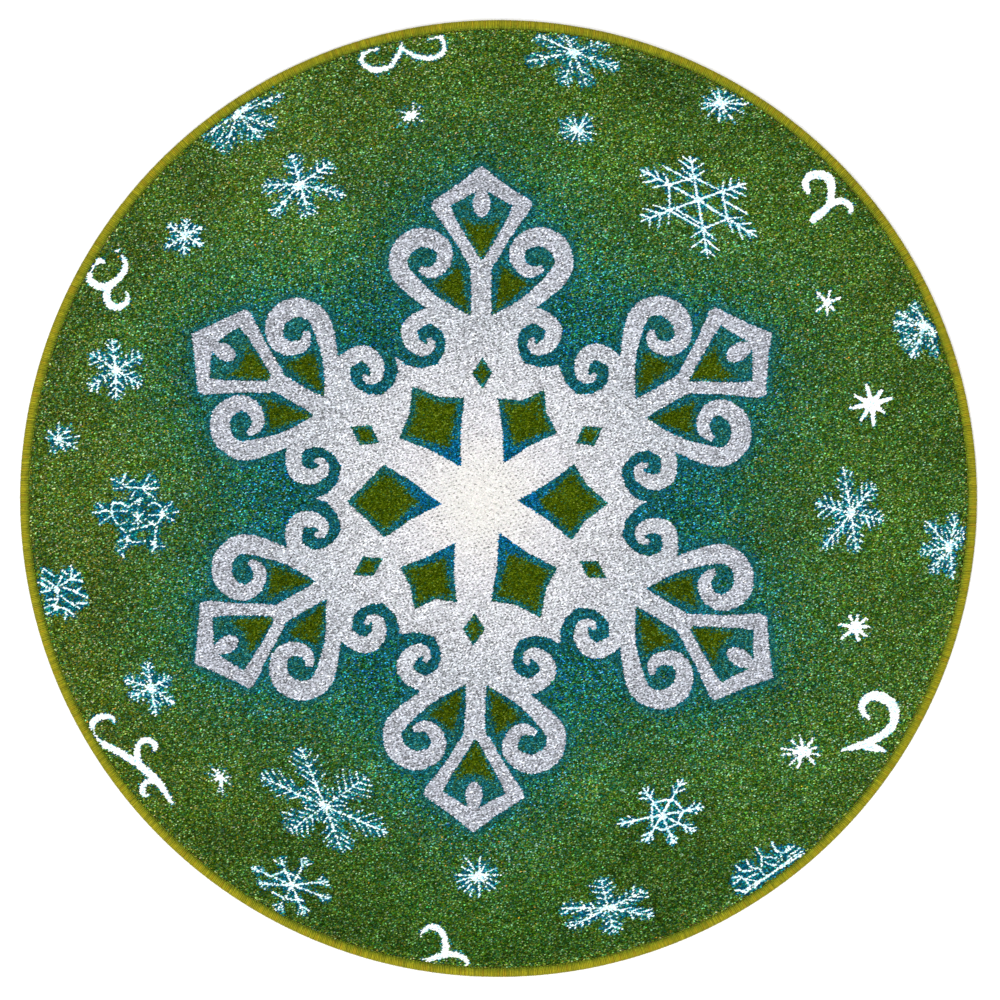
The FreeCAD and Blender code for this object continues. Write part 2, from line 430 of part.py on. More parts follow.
def flake(name, hub, hr, arms, branches, lines):
    """Tapering arms with side branches that sweep outward, and short rays between the arms."""
    fs = [blob(hub, hr, 8, 0.3)]
    n, k = len(arms), BROAD.get(name, 1.0)
    big = math.hypot(arms[0][0] - hub[0], arms[0][1] - hub[1]) > 22
    for i, a in enumerate(arms):
        v = (a[0] - hub[0], a[1] - hub[1])
        fs.append(spike(hub, a, MAIN_W * k, TIP_W * k))
        for t, b in branches:
            for j in (i - 1, (i + 1) % n):
                o = (arms[j][0] - hub[0], arms[j][1] - hub[1])
                root = (hub[0] + t * v[0], hub[1] + t * v[1])
                tip = (root[0] + b * (0.84 * o[0] + 0.24 * v[0]), root[1] + b * (0.84 * o[1] + 0.24 * v[1]))
                fs.append(spike(root, tip, SIDE_W, BARB_W))
        o = (arms[(i + 1) % n][0] - hub[0], arms[(i + 1) % n][1] - hub[1])
        if branches and name not in OPEN:
            c = 0.20 if big else 0.26
            fs.append(spike(hub, (hub[0] + c * (v[0] + o[0]), hub[1] + c * (v[1] + o[1])), SIDE_W, BARB_W))
    for ln in lines:
        for p, q in zip(ln, ln[1:]):
            fs.append(bar(p, q, LINE_W))
    return fuse(fs)


for name, hub, hr, arms, br, lines in FLAKES:
    motifs[name] = flake(name, hub, hr, arms, br, lines)
for name, hub, hr, hw, tips in STARS:
    fs = [blob(hub, hr, 12)]
    for t in tips:
        dx, dy = t[0] - hub[0], t[1] - hub[1]
        n = math.hypot(dx, dy)
        px, py = -dy / n, dx / n
        e = 1.2
        fs.append(face([(hub[0] + px * hw, hub[1] + py * hw), (t[0] + px * e, t[1] + py * e),
                        (t[0] - px * e, t[1] - py * e), (hub[0] - px * hw, hub[1] - py * hw)]))
    motifs[name] = fuse(fs)
for name, w, lines, knots in DRAWN:
    fs = [blob(c, r, 8) for c, r in knots]
    for ln in lines:
        for p, q in zip(ln, ln[1:]):
            fs.append(bar(p, q, w))
    motifs[name] = fuse(fs)
for name, limbs in SCROLLS:
    fs = []
    for limb in limbs:
        fs += ribbon(limb)
    if name == "scroll_upper_left":
        fs.append(face([(114, 249), (120, 249), (117, 253.5)]))
    motifs[name] = fuse(fs)

for name in list(motifs):
    motifs[name] = outline_faces(motifs[name].common(MOTIF_ROOM))

# no two blocks of pile share ground: the medallion wins, then the list order
field = FIELD.cut(Part.makeCompound([MEDALLION] + list(motifs.values())))

# ----------------------------------------------------------------------------
# Solids
# ----------------------------------------------------------------------------
Z0, Z1 = CLOTH_TOP, PILE_TOP
save(extrude(disc(COAT_R), 0, COAT_T), "latex_back_coat")
save(extrude(disc(CLOTH_R), COAT_T, CLOTH_TOP), "woven_ground_cloth")
save(solids_of(extrude(field, Z0, Z1)), "ground_pile_green")
rim = disc(CLOTH_R).cut(disc(PILE_R))
save(extrude(rim, CLOTH_TOP, RIM_PILE_TOP), "rim_pile_under_serging")
save(solids_of(extrude(outline, Z0, Z1)), "medallion_outline_pile_blue")
save(solids_of(extrude(kite_rim, Z0, Z1)), "medallion_kite_rim_pile_blue")
save(solids_of(extrude(diamond_rim, Z0, Z1)), "medallion_diamond_rim_pile_blue")
save(solids_of(extrude(silver_pile, Z0, Z1)), "medallion_pile_silver")
save(solids_of(extrude(ivory, Z0, Z1)), "medallion_centre_pile_ivory")
save(solids_of(extrude(Part.makeCompound(kite_in), Z0, Z1)), "medallion_kite_pile_olive")
save(solids_of(extrude(Part.makeCompound(diamond_in), Z0, Z1)), "medallion_diamond_pile_olive")
save(solids_of(extrude(Part.makeCompound(olive_head), Z0, Z1)), "medallion_head_inset_pile_olive")
save(solids_of(extrude(Part.makeCompound(olive_scroll), Z0, Z1)), "medallion_scroll_inset_pile_olive")
for name, f in motifs.items():
    save(solids_of(extrude(f, Z0, Z1)), name)

# whipped rim: a C-shaped section turned round the edge of the cloth
V = FreeCAD.Vector
p = [V(COAT_R + 0.1, 0, 0), V(605.4, 0, 0), V(MAT_R, 0, 4.2), V(605.0, 0, SERGE_TOP),
     V(601.6, 0, 8.5), V(599.0, 0, 7.6), V(599.0, 0, RIM_PILE_TOP), V(CLOTH_R, 0, RIM_PILE_TOP),
     V(CLOTH_R, 0, COAT_T), V(COAT_R + 0.1, 0, COAT_T)]
edges = [Part.makeLine(p[0], p[1]), Part.Arc(p[1], p[2], p[3]).toShape(), Part.Arc(p[3], p[4], p[5]).toShape(),
         Part.makeLine(p[5], p[6]), Part.makeLine(p[6], p[7]), Part.makeLine(p[7], p[8]),
         Part.makeLine(p[8], p[9]), Part.makeLine(p[9], p[0])]
ring = Part.Face(Part.Wire(edges)).revolve(V(0, 0, 0), V(0, 0, 1), 360)
save(ring, "edge_serging")
stitch = blob(DRAFT_C, STITCH_OUT / STEP, 360).cut(blob(DRAFT_C, STITCH_IN / STEP, 360))
save(extrude(stitch, RIM_PILE_TOP, STITCH_TOP), "serging_lock_stitch")
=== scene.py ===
import math

import bpy
import numpy as np
from mathutils.kdtree import KDTree
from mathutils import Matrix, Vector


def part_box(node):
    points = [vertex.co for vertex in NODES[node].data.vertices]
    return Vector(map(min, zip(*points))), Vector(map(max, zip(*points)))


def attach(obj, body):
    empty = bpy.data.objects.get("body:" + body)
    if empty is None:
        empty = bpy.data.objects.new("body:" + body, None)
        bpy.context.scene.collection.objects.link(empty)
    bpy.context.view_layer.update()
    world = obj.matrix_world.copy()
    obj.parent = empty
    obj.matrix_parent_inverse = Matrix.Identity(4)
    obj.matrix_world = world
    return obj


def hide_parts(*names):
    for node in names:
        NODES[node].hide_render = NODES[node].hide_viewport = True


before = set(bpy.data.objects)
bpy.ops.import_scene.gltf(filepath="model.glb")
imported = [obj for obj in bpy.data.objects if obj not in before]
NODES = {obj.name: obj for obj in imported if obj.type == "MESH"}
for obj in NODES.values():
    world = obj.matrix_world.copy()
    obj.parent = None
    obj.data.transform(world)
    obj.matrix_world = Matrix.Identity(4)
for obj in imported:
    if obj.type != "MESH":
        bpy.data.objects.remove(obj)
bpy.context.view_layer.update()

scene = bpy.context.scene

# ----------------------------------------------------------------------------
# Sizes, metres. They come from the CAD nodes' own boxes.
# ----------------------------------------------------------------------------
MAT_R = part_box("edge_serging")[1][0]
PILE_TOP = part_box("ground_pile_green")[1][2]
CLOTH_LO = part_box("woven_ground_cloth")[0][2]
CLOTH_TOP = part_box("woven_ground_cloth")[1][2]
CLOTH_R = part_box("woven_ground_cloth")[1][0]
COAT_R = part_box("latex_back_coat")[1][0]
PILE_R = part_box("ground_pile_green")[1][0]
RIM_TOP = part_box("rim_pile_under_serging")[1][2]
SERGE_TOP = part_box("edge_serging")[1][2]
_lo, _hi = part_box("medallion_centre_pile_ivory")
MEDAL = ((_lo[0] + _hi[0]) / 2, (_lo[1] + _hi[1]) / 2)
IVORY_R = (_hi[0] - _lo[0]) / 2

ROW_TURN = math.radians(13.0)     # the tuft rows run 13 degrees off +X
ROW_PITCH = 0.001207              # between rows
TUFT_PITCH = 0.00215              # along a row
STEP = 0.001274                   # one step of the weaving draft


def lin(c):
    """sRGB 0-255 to linear 0-1."""
    c = np.asarray(c, float) / 255.0
    return np.where(c <= 0.04045, c / 12.92, ((c + 0.055) / 1.055) ** 2.4)


# ----------------------------------------------------------------------------
# Which CAD node lies under each point of the mat
# ----------------------------------------------------------------------------
CELL = 0.0007
HALF = 0.612
N = int(2 * HALF / CELL)
label = np.zeros((N, N), np.int16)
names = ["", "ground_pile_green"]


def top_triangles(node):
    me = NODES[node].data
    me.calc_loop_triangles()
    co = np.empty(len(me.vertices) * 3)
    me.vertices.foreach_get("co", co)
    co = co.reshape(-1, 3)
    tri = np.empty(len(me.loop_triangles) * 3, np.int64)
    me.loop_triangles.foreach_get("vertices", tri)
    t = co[tri.reshape(-1, 3)]
    return t[(t[:, :, 2] > co[:, 2].max() - 1e-5).all(1)][:, :, :2]


def raster(node, value):
    for a, b, c in top_triangles(node):
        x0, x1 = min(a[0], b[0], c[0]), max(a[0], b[0], c[0])
        y0, y1 = min(a[1], b[1], c[1]), max(a[1], b[1], c[1])
        i0, i1 = int((x0 + HALF) / CELL), int((x1 + HALF) / CELL) + 1
        j0, j1 = int((y0 + HALF) / CELL), int((y1 + HALF) / CELL) + 1
        X = (np.arange(i0, i1) + 0.5) * CELL - HALF
        Y = ((np.arange(j0, j1) + 0.5) * CELL - HALF)[:, None]
        d = (b[0] - a[0]) * (c[1] - a[1]) - (c[0] - a[0]) * (b[1] - a[1])
        if abs(d) < 1e-14:
            continue
        s = ((X - a[0]) * (c[1] - a[1]) - (c[0] - a[0]) * (Y - a[1])) / d
        t = ((b[0] - a[0]) * (Y - a[1]) - (X - a[0]) * (b[1] - a[1])) / d
        label[j0:j1, i0:i1][(s >= -1e-6) & (t >= -1e-6) & (s + t <= 1 + 1e-6)] = value


_g = (np.arange(N) + 0.5) * CELL - HALF
_r = np.hypot(_g[None, :], _g[:, None])
label[_r < PILE_R] = 1
PILE_NODES = sorted(n for n in NODES if "_pile_" in n or n.startswith(("snowflake_", "scroll_"))
                    if n not in ("ground_pile_green", "rim_pile_under_serging"))
for n in PILE_NODES:
    names.append(n)
    raster(n, len(names) - 1)
names.append("rim_pile_under_serging")
RIM = len(names) - 1
label[(_r >= PILE_R) & (_r < CLOTH_R - 0.0012)] = RIM
IDS = {n: i for i, n in enumerate(names)}

_f = np.fft.rfftfreq(N)[None, :] ** 2 + np.fft.fftfreq(N)[:, None] ** 2


def blur(mask, metres):
    s = metres / CELL
    return np.fft.irfft2(np.fft.rfft2(mask.astype(float)) * np.exp(-2 * (math.pi * s) ** 2 * _f), s=(N, N))


def noise_field(metres, seed):
    """Smooth random field, mean 0, spread 1."""
    g = np.random.default_rng(seed).standard_normal((N, N))
    b = blur(g, metres)
    return b / b.std()


is_medal = np.isin(label, [i for n, i in IDS.items() if n.startswith("medallion_")])
is_motif = np.isin(label, [i for n, i in IDS.items() if n.startswith(("snowflake_", "scroll_"))])
is_scroll = np.isin(label, [i for n, i in IDS.items() if n.startswith("scroll_")])
is_white = is_motif | np.isin(label, [IDS["medallion_pile_silver"], IDS["medallion_centre_pile_ivory"]])
SOLID_MOTIFS = ("snowflake_11", "snowflake_18", "snowflake_04", "snowflake_09", "snowflake_20", "snowflake_27", "scroll_")
is_lace = is_motif & ~np.isin(label, [i for n, i in IDS.items() if n.startswith(SOLID_MOTIFS)])
is_plate = np.isin(label, [i for n, i in IDS.items() if n.startswith(("snowflake_14", "snowflake_17", "snowflake_26"))])
lace_fill = blur(is_lace, 0.0046) + 0.8 * blur(is_plate, 0.0062)
cloud_a = noise_field(0.014, 3)
cloud_b = noise_field(0.040, 4)


def steps_to(mask, x, y):
    """Distance from each point to the nearest edge cell of a mask, in draft steps."""
    inside = mask[1:-1, 1:-1] & mask[:-2, 1:-1] & mask[2:, 1:-1] & mask[1:-1, :-2] & mask[1:-1, 2:]
    edge = mask.copy()
    edge[1:-1, 1:-1] &= ~inside
    ys, xs = np.nonzero(edge)
    tree = KDTree(len(xs))
    for k, (px, py) in enumerate(zip(((xs + 0.5) * CELL - HALF).tolist(), ((ys + 0.5) * CELL - HALF).tolist())):
        tree.insert((px, py, 0.0), k)
    tree.balance()
    find = tree.find
    return np.array([find((px, py, 0.0))[2] for px, py in zip(x.tolist(), y.tolist())]) / STEP


def at(field, x, y):
    return field[np.clip(((y + HALF) / CELL).astype(int), 0, N - 1),
                 np.clip(((x + HALF) / CELL).astype(int), 0, N - 1)]


# ----------------------------------------------------------------------------
# Tuft places
# ----------------------------------------------------------------------------
rng = np.random.default_rng(11)
ext = int(0.64 / ROW_PITCH)
jj = np.arange(-ext, ext + 1)
ii = np.arange(-int(0.64 / TUFT_PITCH), int(0.64 / TUFT_PITCH) + 1)
J, I = np.meshgrid(jj, ii, indexing="ij")
J, I = J.ravel(), I.ravel()
u = (I + 0.5 * (J & 1)) * TUFT_PITCH + rng.normal(0, 0.00022, J.size)
v = J * ROW_PITCH + rng.normal(0, 0.00011, J.size)
X = u * math.cos(ROW_TURN) - v * math.sin(ROW_TURN)
Y = u * math.sin(ROW_TURN) + v * math.cos(ROW_TURN)
keep = np.hypot(X, Y) < CLOTH_R - 0.0014
X, Y, I, J = X[keep], Y[keep], I[keep], J[keep]
LAB = at(label, X, Y)
R = np.hypot(X, Y)
keep = (LAB > 0) & ~((R > PILE_R - 0.0007) & (R < PILE_R + 0.0014))
X, Y, I, J, LAB, R = X[keep], Y[keep], I[keep], J[keep], LAB[keep], R[keep]
NT = X.size
print("tufts", NT)

# ----------------------------------------------------------------------------
# Yarn colour of each tuft
# ----------------------------------------------------------------------------
FIELD_PUNCH = 1.53
GLOW_PUNCH = 1.51
SILVER_AT = [10, 30, 50, 70, 90, 110, 135, 175, 230, 300]
SILVER_MEAN = [(235, 233, 229), (231, 230, 227), (227, 226, 226), (223, 222, 224), (217, 217, 221), (210, 212, 216),
               (203, 205, 210), (190, 194, 200), (183, 187, 195), (177, 181, 190)]
# how far each dyed pile has to be lifted for the light lost between its tufts
GAIN = {"ground": (1.0, 1.0, 1.0), "blue": (1.0, 1.0, 1.0), "olive": (1.0, 1.0, 1.0), "silver": (0.693, 0.693, 0.698),
        "ivory": (0.736, 0.731, 0.727), "snowflake": (0.92, 0.92, 0.92), "scroll_": (0.88, 0.88, 0.88)}
COL = np.zeros((NT, 3))
PROUD = np.zeros(NT, bool)
LONG = np.ones(NT)


def mix(sel, mean, palette, weights, punch):
    """One yarn of a palette for each tuft, held to the local mean colour (sRGB 0-255)."""
    n = int(sel.sum())
    w = np.asarray(weights, float)
    w = w / w.sum()
    p = lin(palette)
    ratio = (p / (p * w[:, None]).sum(0)) ** punch
    ratio /= (ratio * w[:, None]).sum(0)
    k = rng.choice(len(w), n, p=w)
    COL[sel] = lin(np.broadcast_to(mean, (n, 3))) * ratio[k]


def tint(sel, spread, hue=0.0):
    n = int(sel.sum())
    COL[sel] *= np.exp(rng.normal(0, spread, (n, 1)) - spread ** 2 / 2)
    if hue:
        COL[sel] *= np.exp(rng.normal(0, hue, (n, 3)))


def curve(x, xs, colours):
    c = np.asarray(colours, float)
    return np.stack([np.interp(x, xs, c[:, k]) for k in range(3)], -1)


# heathered field yarns away from the big snowflake, in its glow, and in its outline
FIELD_YARN = [(71, 100, 30), (48, 79, 17), (51, 91, 47), (91, 119, 46), (70, 112, 71), (105, 138, 77), (124, 163, 115)]
FIELD_SHARE = [0.24, 0.18, 0.15, 0.15, 0.14, 0.10, 0.04]
GLOW_YARN = [(67, 98, 38), (28, 69, 32), (43, 92, 63), (67, 118, 87), (26, 98, 98), (100, 134, 76), (96, 157, 136)]
GLOW_SHARE = [0.20, 0.18, 0.18, 0.16, 0.13, 0.10, 0.06]
OUTLINE_YARN = [(21, 90, 96), (11, 70, 71), (31, 111, 127), (60, 116, 100), (53, 93, 57), (67, 147, 153), (27, 65, 33)]
OUTLINE_SHARE = [0.30, 0.22, 0.16, 0.12, 0.09, 0.06, 0.05]
# mean field colour against how much silver lies round about: olive green out in the open, teal among the arms
AMONG_AT = [0.0, 0.02, 0.05, 0.08, 0.10, 0.14, 0.17, 0.20, 0.24, 0.28, 0.33, 0.40, 0.50, 0.65]
AMONG_MEAN = [(71, 102, 43), (69, 103, 48), (67, 103, 52), (65, 103, 56), (63, 102, 58), (59, 101, 62), (55, 100, 68),
              (50, 100, 73), (45, 100, 80), (41, 97, 82), (36, 94, 84), (31, 90, 86), (26, 86, 88), (23, 84, 90)]
EDGE_TEAL = np.array([15.0, 86.0, 102.0])


def field_mean(x, y, d):
    """Mean colour of the coloured pile outside the silver, at d draft steps from it."""
    m = curve(at(silver_near, x, y) * (0.75 + np.clip(d, 0, 75) / 75), AMONG_AT, AMONG_MEAN)
    a = 0.9 * np.exp(-d / 6.5)[:, None]
    return m * (1 - a) + EDGE_TEAL * a


# painted nap shading round the mat: the field is lighter toward the upper left and darker toward the bottom, given
# every 30 degrees from +X
NAP_SHADE_BY_BEARING = np.array([(71, 105, 48), (73, 103, 46), (68, 99, 44), (72, 100, 44), (81, 110, 54), (74, 101, 48), (79, 104, 48),
                  (79, 101, 43), (62, 93, 39), (55, 87, 34), (64, 97, 44), (73, 105, 50), (71, 105, 48)], float)
BLUE_YARN = [(4, 84, 120), (8, 98, 108), (2, 68, 88), (66, 144, 162), (120, 184, 198)]
BLUE_SHARE = [0.34, 0.26, 0.16, 0.16, 0.08]

silver = np.isin(label, [IDS["medallion_pile_silver"], IDS["medallion_centre_pile_ivory"]])
silver_near = blur(silver, 45 * STEP)
g = LAB == 1
gx, gy = X[g], Y[g]
d_s = steps_to(silver, gx, gy)
d_m = steps_to(is_motif, gx, gy)
ca, cb = at(cloud_a, gx, gy), at(cloud_b, gx, gy)
mean = field_mean(gx, gy, d_s)
away = np.clip((d_s - 30) / 80, 0, 1)[:, None]
bearing = np.degrees(np.arctan2(gy, gx)) % 360
# painted nap shading by bearing, applied away from the big snowflake
mean = mean * (curve(bearing, np.arange(13) * 30, NAP_SHADE_BY_BEARING) / np.array([71.0, 103.0, 45.0])) ** away
rimk = np.clip((R[g] - 0.588) / 0.010, 0, 1)[:, None]
mean = mean * (1 - 0.05 * np.clip((R[g] - 0.50) / 0.08, 0, 1)[:, None])
mean = mean * (1 - rimk) + np.array([82.0, 106.0, 44.0]) * rimk
mean = mean * (1 + 0.035 * np.clip(cb, -2, 2) + 0.03 * np.clip(ca, -2, 2))[:, None]
in_glow = rng.random(d_s.size) < np.maximum(np.exp(-d_s / 38.0), np.clip(at(silver_near, gx, gy) * 4, 0, 1))
full = np.zeros((NT, 3))
full[g] = mean
gi = np.flatnonzero(g)
m1 = np.zeros(NT, bool)
m1[gi[~in_glow]] = True
m2 = np.zeros(NT, bool)
m2[gi[in_glow]] = True
mix(m1, full[m1], FIELD_YARN, FIELD_SHARE, FIELD_PUNCH)
mix(m2, full[m2], GLOW_YARN, GLOW_SHARE, GLOW_PUNCH)
COL[m2, 0] *= np.exp(rng.normal(0, 0.45, int(m2.sum())) - 0.10)
# blue yarn comes up beside the lines of the white motifs and fills the gaps between branches
fill = at(lace_fill, gx, gy)
p_blue = 0.48 * np.exp(-np.maximum(d_m - 0.3, 0) / 0.85) + 0.80 * np.clip((fill - 0.13) / 0.20, 0, 1)
m3 = np.zeros(NT, bool)
m3[gi[rng.random(gi.size) < p_blue]] = True
mix(m3, (17, 99, 112), BLUE_YARN, BLUE_SHARE, 1.0)
tint(g, 0.18, 0.19)

# share of each motif's tufts, nearest its edges, where white yarn gives way to the yarns round it
THIN = {"snowflake_01": 0.53, "snowflake_02": 0.30, "snowflake_03": 0.36, "snowflake_04": 0.57, "snowflake_05": 0.50,
        "snowflake_06": 0.31, "snowflake_07": 0.18, "snowflake_09": 0.22, "snowflake_10": 0.38, "snowflake_12": 0.28,
        "snowflake_13": 0.42, "snowflake_14": 0.33, "snowflake_15": 0.33, "snowflake_16": 0.33, "snowflake_17": 0.14,
        "snowflake_18": 0.10, "snowflake_19": 0.31, "snowflake_20": 0.52, "snowflake_21": 0.43, "snowflake_22": 0.30,
        "snowflake_23": 0.34, "snowflake_24": 0.36, "snowflake_26": 0.18, "snowflake_27": 0.20,
        "scroll_top": 0.38, "scroll_bottom": 0.17, "scroll_lower_left": 0.08, "scroll_upper_left": 0.08}
for n in PILE_NODES:
    s = LAB == IDS[n]
    if not s.any():
        continue
    x, y = X[s], Y[s]
    d = np.hypot(x - MEDAL[0], y - MEDAL[1])
    if n == "medallion_outline_pile_blue":
        mix(s, field_mean(x, y, steps_to(silver, x, y)), OUTLINE_YARN, OUTLINE_SHARE, 1.15)
        tint(s, 0.20, 0.06)
    elif n in ("medallion_kite_rim_pile_blue", "medallion_diamond_rim_pile_blue"):
        inner = np.clip(1.75 - d / 0.080, 0, 1)[:, None]
        mix(s, np.array((6.0, 88.0, 124.0)) * inner + np.array((30.0, 94.0, 92.0)) * (1 - inner), OUTLINE_YARN, OUTLINE_SHARE, 1.15)
        tint(s, 0.18, 0.05)
    elif "olive" in n:
        mix(s, (63, 81, 8), [(63, 80, 4), (48, 67, 2), (77, 95, 14), (56, 84, 31), (95, 113, 36)],
            [0.40, 0.28, 0.22, 0.06, 0.04], 1.3)
        tint(s, 0.14, 0.04)
    elif n in ("medallion_pile_silver", "medallion_centre_pile_ivory"):
        base = curve(d / STEP, SILVER_AT, SILVER_MEAN)
        # grey yarn surfaces in rows: far apart in the middle, closer and bolder toward the arms
        r_ = d / STEP
        zone = r_ + rng.normal(0, 4, x.size)
        i_, j_ = I[s], J[s]
        dens = np.interp(r_, [0, 14, 45, 80, 120, 170], [0.0, 0.30, 0.62, 0.85, 0.95, 1.0])
        far_dots = (j_ % 5 == 0) & ((i_ + 3 * (j_ // 5 % 2)) % 6 == 0)
        dots = (j_ % 4 == 0) & ((i_ + j_ // 4) % 3 == 0)
        dashes = (j_ % 3 == 0) & ((i_ + j_ // 3) % 3 == 0)
        close = (j_ % 3 == 0) & ((i_ + j_ // 3) % 2 == 0) & (rng.random(x.size) < 0.85)
        streak = rng.random(x.size) < np.interp(r_, [80, 150], [0.0, 0.17])
        roll = rng.random(x.size)
        # out in the middle each mark is two rows deep
        far_under = ((j_ - 1) % 5 == 0) & ((i_ + 3 * ((j_ - 1) // 5 % 2)) % 6 == 0)
        mark = np.where(zone < 26, far_dots & (zone > 9), np.where(zone < 52, dots, np.where(zone < 88, dashes, close)))
        mark = (mark & (roll < 0.94)) | streak | (rng.random(x.size) < 0.10 * np.clip(dens - 0.5, 0, 1))
        half_mark = (zone < 26) & far_under & (zone > 9) & (roll < 0.8) & ~mark
        depth = rng.random(x.size)
        k = np.where(mark, 0.22 + (0.24 + 0.18 * dens) * depth + 0.16 * (1 - dens),
                     np.where(half_mark, 0.52 + 0.2 * depth, 1.0 + 0.10 * (depth - 0.5)))
        was = 0.36 * np.clip(dens - 0.45, 0, 1)
        vary = np.interp(r_, [40, 70, 110, 150, 200, 260], [0.06, 0.18, 0.26, 0.29, 0.34, 0.37])
        k = k * np.exp(rng.normal(0, 1, x.size) * vary - 0.36 * (vary ** 2 - was ** 2))
        k = k / np.interp(r_, [0, 20, 40, 70, 120, 170], [1.0, 0.98, 0.95, 0.91, 0.83, 0.77])
        LONG[np.flatnonzero(s)[mark & (zone > 22) & (zone < 110)]] = 1.4
        PROUD[np.flatnonzero(s)[mark | half_mark]] = True
        c = lin(base) * k[:, None]
        COL[s] = c * np.exp(rng.normal(0, 0.012, c.shape))
        tint(s, 0.045)
    else:
        if n.startswith(SOLID_MOTIFS):
            kinds, share = [(242, 246, 244), (214, 234, 240), (170, 214, 224)], [0.84, 0.11, 0.05]
        else:
            kinds, share = [(238, 249, 246), (204, 236, 238), (146, 202, 216)], [0.56, 0.30, 0.14]
        COL[s] = lin(kinds)[rng.choice(3, int(s.sum()), p=share)]
        tint(s, 0.05, 0.012)
        thin = sum(v for k_, v in THIN.items() if n.startswith(k_))
        if thin:
            si = np.flatnonzero(s)
            deep = steps_to(~is_motif, x, y) + rng.normal(0, 0.30, si.size)
            off = si[np.argsort(deep)[:int(thin * si.size)]]
            swap_to = rng.random(off.size) < 0.36
            for part, tone, yarn, amount in ((off[swap_to], (20, 104, 120), BLUE_YARN, BLUE_SHARE),
                                             (off[~swap_to], (62, 108, 64), FIELD_YARN, FIELD_SHARE)):
                m_ = np.zeros(NT, bool)
                m_[part] = True
                mix(m_, tone, yarn, amount, 1.0)
# where olive meets blue the two yarns change over raggedly
is_olive = np.isin(label, [i for n, i in IDS.items() if "olive" in n])
is_band = np.isin(label, [i for n, i in IDS.items() if n.startswith("medallion_") and n.endswith("_blue")])
s = np.isin(LAB, [i for n, i in IDS.items() if "olive" in n])
si = np.flatnonzero(s)
swap = np.zeros(NT, bool)
swap[si[rng.random(si.size) < 0.62 * np.exp(-steps_to(is_band, X[s], Y[s]) / 2.6)]] = True
mix(swap, (42, 88, 58), GLOW_YARN, GLOW_SHARE, 1.2)
s = np.isin(LAB, [i for n, i in IDS.items() if n.startswith("medallion_") and n.endswith("_blue")])
si = np.flatnonzero(s)
swap[:] = False
swap[si[rng.random(si.size) < 0.50 * np.exp(-steps_to(is_olive, X[s], Y[s]) / 2.2)]] = True
mix(swap, (56, 88, 28), FIELD_YARN, FIELD_SHARE, 1.3)

s = LAB == RIM
mix(s, (100, 112, 28), [(112, 112, 16), (92, 98, 18), (132, 126, 24), (70, 100, 40)], [0.4, 0.3, 0.1, 0.2], 1.0)
tint(s, 0.12)
for m_, k in GAIN.items():
    sel = np.isin(LAB, [i for n_, i in IDS.items() if m_ in n_])
    COL[sel] *= np.array(k)
COL = np.clip(COL, 0.0, 0.95)

# ----------------------------------------------------------------------------
# Tuft shape: a point down in the cloth, a shoulder of four corners and a crowned tip
# ----------------------------------------------------------------------------
TIP = PILE_TOP - 0.00006 - rng.random(NT) ** 1.6 * 0.00085
TIP -= np.clip(0.00022 * at(cloud_a, X, Y), -0.0001, 0.0006) + 0.0001
TIP = np.minimum(TIP, PILE_TOP - 0.00005)
# the big snowflake is shorn more evenly than the field
even = np.isin(LAB, [IDS["medallion_pile_silver"], IDS["medallion_centre_pile_ivory"]])
TIP[even] = PILE_TOP - 0.00030 - (PILE_TOP - 0.00030 - TIP[even]) * 0.35
TIP[PROUD] = PILE_TOP - 0.00030 - rng.random(int(PROUD.sum())) * 0.00008
TIP[LAB == RIM] = RIM_TOP - 0.0002 - rng.random(int((LAB == RIM).sum())) * 0.0006
HALF_LONG = 0.00113 * (1 + rng.normal(0, 0.07, NT))
HALF_LONG *= LONG
HALF_WIDE = 0.00071 * (1 + rng.normal(0, 0.09, NT))
SPIN = ROW_TURN + rng.normal(0, 0.20, NT)
LEAN = np.stack([rng.normal(0.00005, 0.00014, NT), rng.normal(-0.00010, 0.00014, NT)], 1)
CORNER = 1 + rng.normal(0, 0.13, (NT, 4))
spill = (LAB != RIM) & (R > PILE_R - 0.0030) & (rng.random(NT) < 0.5)
LEAN[spill] += np.stack([X[spill], Y[spill]], 1) / R[spill, None] * rng.uniform(0.0002, 0.0013, (int(spill.sum()), 1))
TIP[spill] = PILE_TOP - 0.00006 - rng.random(int(spill.sum())) * 0.00015
HUE = np.exp(rng.normal(0, 0.12, (NT, 5, 1)) + rng.normal(0, 0.035, (NT, 5, 3)))


def nodes_of(mat):
    nt = mat.node_tree
    return nt, nt.nodes, nt.links


